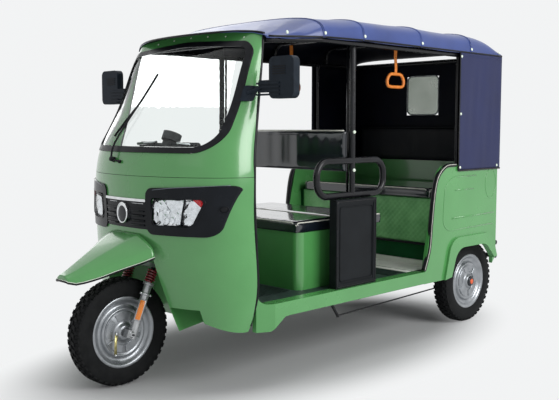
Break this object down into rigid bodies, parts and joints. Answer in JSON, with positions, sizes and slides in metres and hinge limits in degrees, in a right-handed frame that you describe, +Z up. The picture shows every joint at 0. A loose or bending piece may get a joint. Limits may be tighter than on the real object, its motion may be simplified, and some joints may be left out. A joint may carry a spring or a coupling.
{
  "type": "auto rickshaw",
  "caption": "Electric auto rickshaw: one steered front wheel, two rear wheels, curved green cab, bench seats, soft blue canopy on bows and open sides for passengers.",
  "frame": {"origin": "on the ground, in the middle of the outline", "axes": "+Z up, the front points to -Y, +X is the vehicle's left side"},
  "size_m": [1.468, 2.77, 1.7404],
  "materials": {
    "tyre": "matte",
    "silver_paint": "satin",
    "green_paint": "gloss",
    "black_paint": "satin",
    "red_paint": "gloss",
    "aluminium": "satin",
    "chrome": "polished",
    "black_rubber": "matte",
    "windscreen_glass": "clear",
    "clear_vinyl": "clear",
    "lamp_lens": "clear",
    "red_lens": "gloss",
    "gloss_black": "gloss",
    "matte_black": "matte",
    "grey_plastic": "matte",
    "seat_vinyl": "satin",
    "canopy_vinyl": "satin",
    "strap_web": "matte",
    "plate_white": "gloss"
  },
  "bodies": {
    "chassis": {"nose_panel": "green_paint", "windscreen_frame": "green_paint", "screen_gasket": "black_rubber", "windscreen": "windscreen_glass", "headlamp_bezels": "gloss_black", "headlamps": "lamp_lens", "grille": "gloss_black", "grille_trim": "chrome", "front_bulkhead": "green_paint", "dashboard": "matte_black", "front_fender": "green_paint", "frame": "black_paint", "floor": "aluminium", "sills": "green_paint", "bench_box": "green_paint", "middle_seat": "seat_vinyl", "grab_frames": "black_paint", "driver_backrest": "gloss_black", "side_panels": "black_paint", "body_sides": "green_paint", "back_panel": "green_paint", "inner_body": "green_paint", "rear_backrest": "seat_vinyl", "canopy_frame": "black_paint", "canopy_bows": "black_paint", "brake_linkage": "black_paint", "canopy_cover": "canopy_vinyl", "rear_window": "clear_vinyl", "grab_straps": "strap_web", "mirrors": "matte_black", "rear_axle": "black_paint", "motor": "aluminium", "leaf_springs": "black_paint", "battery": "grey_plastic", "rear_bumper": "black_paint", "tail_lamps": "red_lens", "number_plate": "plate_white"},
    "steering": {"fork": "aluminium", "fork_springs": "red_paint", "handlebar": "black_paint"},
    "front_wheel": {"front_tyre": "tyre", "front_rim": "silver_paint"},
    "rear_wheel_left": {"rear_tyre_left": "tyre", "rear_rim_left": "silver_paint"},
    "rear_wheel_right": {"rear_tyre_right": "tyre", "rear_rim_right": "silver_paint"},
    "driver_lid": {"driver_seat_lid": "seat_vinyl"},
    "rear_lid": {"rear_seat_lid": "seat_vinyl"}
  },
  "joints": [
    {"name": "steering_hinge", "type": "hinge", "parent": "chassis", "child": "steering", "pos_m": [0, -1.08206, 0.24466], "axis": [0, 0.3811, 0.9245], "range_deg": [-35, 35]},
    {"name": "front_wheel_spin", "type": "hinge", "parent": "steering", "child": "front_wheel", "pos_m": [0, -1.095, 0.25], "axis": [1, 0, 0], "continuous": true},
    {"name": "rear_wheel_left_spin", "type": "hinge", "parent": "chassis", "child": "rear_wheel_left", "pos_m": [0.425, 1.112, 0.25], "axis": [1, 0, 0], "continuous": true},
    {"name": "rear_wheel_right_spin", "type": "hinge", "parent": "chassis", "child": "rear_wheel_right", "pos_m": [-0.425, 1.112, 0.25], "axis": [1, 0, 0], "continuous": true},
    {"name": "driver_lid_hinge", "type": "hinge", "parent": "chassis", "child": "driver_lid", "pos_m": [0, -0.038, 0.7303], "axis": [-1, 0, 0], "range_deg": [0, 60]},
    {"name": "rear_lid_hinge", "type": "hinge", "parent": "chassis", "child": "rear_lid", "pos_m": [0, 1.145, 0.8413], "axis": [-1, 0, 0], "range_deg": [0, 60]}
  ]
}
